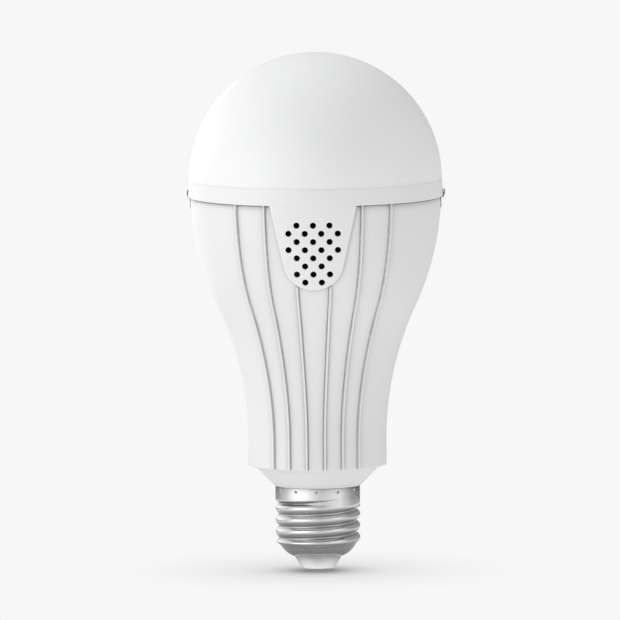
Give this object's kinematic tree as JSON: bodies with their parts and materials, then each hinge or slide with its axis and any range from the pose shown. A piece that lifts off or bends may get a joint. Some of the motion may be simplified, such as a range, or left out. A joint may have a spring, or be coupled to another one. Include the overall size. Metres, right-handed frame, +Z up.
{
  "type": "smart light bulb",
  "caption": "Large LED smart bulb: opal dome, ribbed white body with a perforated loudspeaker tab, and an E27 screw base.",
  "frame": {"origin": "centre of the flat of the tip, where the centre contact is", "axes": "+Z up the bulb's axis towards the dome; -Y is the front, where the perforated tab is"},
  "size_m": [0.08, 0.079, 0.16],
  "materials": {
    "opal_dome": "frosted opal",
    "white_housing": "fine satin",
    "white_collar": "fine satin",
    "nickel_shell": "bright nickel plate",
    "white_insulator": "satin",
    "nickel_contact": "bright nickel plate",
    "spring_steel": "satin",
    "silicone": "matt",
    "pressed_aluminium": "satin",
    "white_solder_mask": "satin",
    "phosphor_chip": "gloss",
    "zinc_screw": "zinc plate",
    "white_connector": "satin",
    "black_steel": "satin",
    "black_plastic": "matt",
    "black_foam": "foam",
    "black_cloth": "woven",
    "black_rubber": "satin",
    "paper_cone": "matt",
    "zinc_steel": "zinc plate",
    "ferrite_magnet": "matt",
    "copper_coil": "enamelled wire",
    "clear_liner": "translucent film",
    "green_board": "solder mask",
    "black_ferrite": "matt",
    "yellow_tape": "tape",
    "capacitor_sleeve": "sleeve",
    "film_box": "satin",
    "resistor_body": "satin",
    "shield_tin": "tinplate",
    "black_epoxy": "matt",
    "red_sleeve": "insulation",
    "white_sleeve": "insulation",
    "black_sleeve": "insulation"
  },
  "bodies": {
    "bulb": {"diffuser_dome": "opal_dome", "housing": "white_housing", "grille_collar": "white_collar", "screw_shell": "nickel_shell", "tip_insulator": "white_insulator", "centre_contact": "nickel_contact", "collar_clips": "spring_steel", "dome_seal": "silicone", "heat_spreader": "pressed_aluminium", "led_board": "white_solder_mask", "led_chips": "phosphor_chip", "led_board_screws": "zinc_screw", "led_connector": "white_connector", "led_lead_pair": "red_sleeve", "speaker_basket": "black_steel", "speaker_top_plate": "zinc_steel", "speaker_magnet": "ferrite_magnet", "speaker_yoke": "zinc_steel", "speaker_surround": "black_rubber", "speaker_box": "black_plastic", "speaker_gasket": "black_foam", "acoustic_cloth": "black_cloth", "speaker_bracket": "pressed_aluminium", "speaker_screws": "zinc_screw", "speaker_lead_pair": "black_sleeve", "driver_liner": "clear_liner", "driver_board": "green_board", "control_board": "green_board", "transformer_core": "black_ferrite", "transformer_winding": "yellow_tape", "bulk_capacitor": "capacitor_sleeve", "output_capacitor": "capacitor_sleeve", "control_capacitors": "capacitor_sleeve", "film_capacitor": "film_box", "line_choke": "black_ferrite", "bridge_rectifier": "black_epoxy", "fuse_resistor": "resistor_body", "wireless_module": "shield_tin", "amplifier_chip": "black_epoxy", "antenna_post": "zinc_steel", "live_lead": "red_sleeve", "neutral_lead": "white_sleeve"},
    "cone_assembly": {"speaker_cone": "paper_cone", "speaker_dust_cap": "paper_cone", "voice_coil": "copper_coil"}
  },
  "joints": [
    {"name": "cone_travel", "type": "slide", "parent": "bulb", "child": "cone_assembly", "axis": [0, -1, 0], "range_m": [-0.0005, 0.0005], "stiffness_N_per_m": 300}
  ]
}
